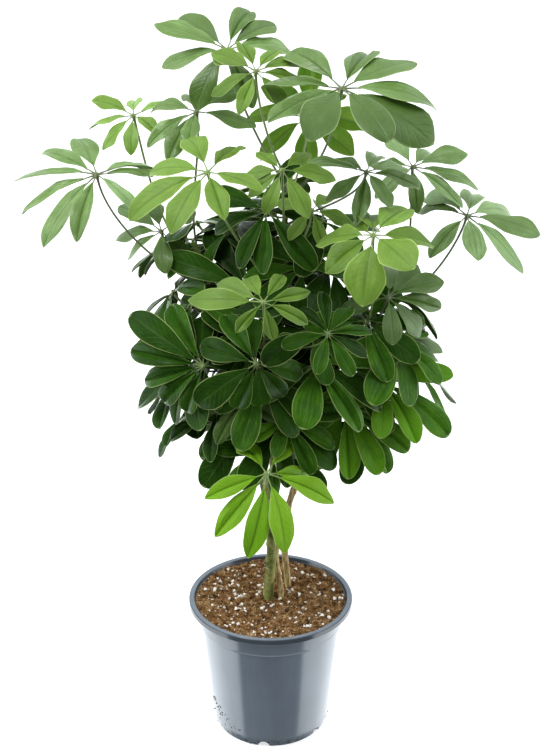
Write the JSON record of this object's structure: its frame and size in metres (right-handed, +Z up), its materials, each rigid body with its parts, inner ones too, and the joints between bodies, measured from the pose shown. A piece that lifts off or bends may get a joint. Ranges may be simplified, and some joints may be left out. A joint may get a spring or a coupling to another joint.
{
  "type": "potted umbrella plant",
  "caption": "Young umbrella plant with slender woody stems and palmate glossy leaves, standing in a tapered plastic nursery pot of potting mix.",
  "frame": {"origin": "middle of the pot's flat underside, on the surface that it stands on", "axes": "+Z up along the pot's axis; the plant's front faces -Y; +X to the right seen from the front"},
  "size_m": [0.5563, 0.3377, 0.8313],
  "materials": {
    "pot": "smooth moulded blue-grey plastic with a soft gloss",
    "potting_mix": "moist brown peat with white perlite grains",
    "bark": "green-brown young bark with tan patches, satin",
    "old_leaf": "dark green, glossy, with pale margins and midribs",
    "grown_leaf": "mid green, satin gloss",
    "young_leaf": "light yellow-green, satin"
  },
  "bodies": {
    "root": {"pot": "pot", "potting_mix": "potting_mix", "stem_main": "bark", "stem_left": "bark", "stem_right": "bark", "leaf_01": "grown_leaf", "leaf_02": "young_leaf", "leaf_03": "grown_leaf", "leaf_04": "young_leaf", "leaf_05": "grown_leaf", "leaf_06": "young_leaf", "leaf_07": "grown_leaf", "leaf_08": "young_leaf", "leaf_09": "grown_leaf", "leaf_10": "grown_leaf", "leaf_11": "grown_leaf", "leaf_12": "young_leaf", "leaf_13": "young_leaf", "leaf_14": "young_leaf", "leaf_15": "young_leaf", "leaf_16": "young_leaf", "leaf_17": "old_leaf", "leaf_18": "old_leaf", "leaf_19": "old_leaf", "leaf_20": "old_leaf", "leaf_21": "grown_leaf", "leaf_22": "grown_leaf", "leaf_23": "old_leaf", "leaf_24": "old_leaf", "leaf_25": "old_leaf", "leaf_26": "grown_leaf", "leaf_27": "grown_leaf", "leaf_28": "old_leaf", "leaf_29": "old_leaf", "leaf_30": "old_leaf", "leaf_31": "old_leaf", "leaf_32": "old_leaf", "leaf_33": "old_leaf", "leaf_34": "old_leaf", "leaf_35": "old_leaf", "leaf_36": "old_leaf", "leaf_37": "old_leaf", "leaf_38": "old_leaf", "leaf_39": "old_leaf", "leaf_40": "old_leaf", "leaf_41": "old_leaf", "leaf_42": "old_leaf", "leaf_43": "old_leaf", "leaf_44": "old_leaf", "leaf_45": "old_leaf", "leaf_46": "old_leaf", "leaf_47": "old_leaf"}
  },
  "joints": []
}
